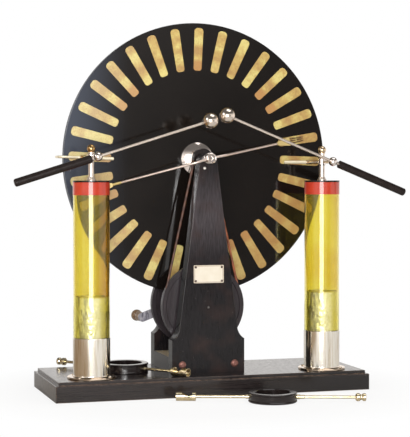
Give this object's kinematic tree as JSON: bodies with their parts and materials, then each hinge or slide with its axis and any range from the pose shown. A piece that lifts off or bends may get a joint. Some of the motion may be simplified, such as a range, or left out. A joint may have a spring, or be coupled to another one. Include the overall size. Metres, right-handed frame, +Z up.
{
  "type": "influence electrostatic machine",
  "caption": "Tabletop electrostatic machine with two counter-turning sectored plates, amber storage jars, rear crank and two loose spark rings.",
  "frame": {"origin": "centre of the underside of the base board, on the surface the machine stands on", "axes": "+X right along the base as seen from the operator's front, where the name plate is; +Y to the back, along the axle towards the crank; +Z up"},
  "size_m": [0.5045, 0.2889, 0.47],
  "materials": {
    "polished_nickel": "polished nickel plate",
    "base_wood": "black-stained hardwood, french polished",
    "steel_screw": "bright turned",
    "brass": "lacquered",
    "grip_wood": "turned and varnished",
    "steel_shaft": "ground",
    "stand_wood": "black-stained hardwood, satin",
    "belt_cord": "round waxed cord",
    "tinsel": "fine dark tinsel wire",
    "pulley_wood": "black-stained hardwood, satin, vertical grain",
    "ebonite_turned": "turned hard rubber, polished",
    "ring_brass": "lacquered, slightly dulled",
    "ebonite_plate": "hard rubber sheet, semi-gloss",
    "sector_foil": "leaf foil with tarnish patches",
    "nickel_cup": "polished nickel plate, lightly rubbed",
    "jar_foil": "crinkled tin foil",
    "amber_glass": "amber-yellow lacquered glass, gloss",
    "red_lacquer": "red varnish band, gloss",
    "plate_enamel": "cream enamel, blank",
    "bronze_bolt": "bronzed, worn"
  },
  "bodies": {
    "stand": {"base_board": "base_wood", "base_screws": "steel_screw", "cross_block": "stand_wood", "front_upright": "stand_wood", "rear_upright": "stand_wood", "upright_bolts": "bronze_bolt", "nameplate": "plate_enamel", "small_screws": "bronze_bolt", "axle_bushes": "polished_nickel", "shaft_bushes": "brass", "main_axle": "polished_nickel", "axle_washer": "polished_nickel", "front_belt": "belt_cord", "rear_belt": "belt_cord", "jar_cups": "nickel_cup", "jar_flange_screws": "nickel_cup", "jar_glasses": "amber_glass", "jar_red_bands": "red_lacquer", "jar_foils": "jar_foil", "jar_lids": "ebonite_turned", "jar_inner_rods": "polished_nickel", "jar_posts": "polished_nickel", "post_heads": "polished_nickel", "post_finials": "brass", "stub_rods": "polished_nickel", "comb_tees": "brass", "comb_forks": "polished_nickel", "comb_bars": "polished_nickel", "comb_points": "polished_nickel"},
    "front_disc": {"front_plate": "ebonite_plate", "front_sectors": "sector_foil", "front_hub": "ebonite_turned", "front_hub_flange": "polished_nickel"},
    "rear_disc": {"rear_plate": "ebonite_plate", "rear_sectors": "sector_foil", "rear_hub": "ebonite_turned", "rear_hub_flange": "polished_nickel"},
    "crank": {"crank_shaft": "steel_shaft", "front_drive_pulley": "pulley_wood", "rear_drive_pulley": "pulley_wood", "crank_arm": "polished_nickel", "crank_nut": "steel_screw"},
    "crank_handle": {"crank_grip": "grip_wood", "crank_grip_knob": "grip_wood"},
    "front_neutraliser": {"front_neutraliser_collar": "polished_nickel", "front_neutraliser_rods": "polished_nickel", "front_brushes": "tinsel"},
    "rear_neutraliser": {"rear_neutraliser_collar": "polished_nickel", "rear_neutraliser_rods": "polished_nickel", "rear_brushes": "tinsel"},
    "left_pivot": {"left_pivot_ball": "polished_nickel"},
    "left_arm": {"left_discharge_rod": "polished_nickel", "left_handle": "ebonite_turned"},
    "right_pivot": {"right_pivot_ball": "polished_nickel"},
    "right_arm": {"right_discharge_rod": "polished_nickel", "right_handle": "ebonite_turned"},
    "front_gap": {"front_gap_ring": "ebonite_turned", "front_gap_rods": "ring_brass"},
    "rear_gap": {"rear_gap_ring": "ebonite_turned", "rear_gap_rods": "ring_brass"}
  },
  "joints": [
    {"name": "front_disc_spin", "type": "hinge", "parent": "stand", "child": "front_disc", "pos_m": [0, 0.0175, 0.295], "axis": [0, 1, 0], "continuous": true},
    {"name": "rear_disc_spin", "type": "hinge", "parent": "stand", "child": "rear_disc", "pos_m": [0, 0.0245, 0.295], "axis": [0, 1, 0], "continuous": true},
    {"name": "crank_turn", "type": "hinge", "parent": "stand", "child": "crank", "pos_m": [0, 0.0175, 0.107], "axis": [0, 1, 0], "continuous": true},
    {"name": "crank_handle_spin", "type": "hinge", "parent": "crank", "child": "crank_handle", "pos_m": [-0.05772, 0.0913, 0.08576], "axis": [0, 1, 0], "continuous": true},
    {"name": "front_neutraliser_swing", "type": "hinge", "parent": "stand", "child": "front_neutraliser", "pos_m": [0, -0.0436, 0.295], "axis": [0, 1, 0], "range_deg": [-39, 4]},
    {"name": "rear_neutraliser_swing", "type": "hinge", "parent": "stand", "child": "rear_neutraliser", "pos_m": [0, 0.0786, 0.295], "axis": [0, 1, 0], "range_deg": [-6, 42]},
    {"name": "left_arm_tilt", "type": "hinge", "parent": "stand", "child": "left_pivot", "pos_m": [-0.1515, -0.077, 0.296], "axis": [0, 1, 0], "range_deg": [-40, 0]},
    {"name": "left_arm_slide", "type": "slide", "parent": "left_pivot", "child": "left_arm", "axis": [-0.9537, 0, -0.3007], "range_m": [0, 0.12]},
    {"name": "right_arm_tilt", "type": "hinge", "parent": "stand", "child": "right_pivot", "pos_m": [0.1515, -0.077, 0.291], "axis": [0, 1, 0], "range_deg": [0, 40]},
    {"name": "right_arm_slide", "type": "slide", "parent": "right_pivot", "child": "right_arm", "axis": [0.9282, 0, -0.3722], "range_m": [0, 0.12]},
    {"name": "front_gap_lift", "type": "slide", "parent": "stand", "child": "front_gap", "axis": [0, 0, 1], "range_m": [0, 0.1]},
    {"name": "rear_gap_lift", "type": "slide", "parent": "stand", "child": "rear_gap", "axis": [0, 0, 1], "range_m": [0, 0.08]}
  ],
  "couplings": [
    {"joint": "rear_disc_spin", "follows": "front_disc_spin", "ratio": -1},
    {"joint": "crank_turn", "follows": "front_disc_spin", "ratio": 0.2}
  ]
}
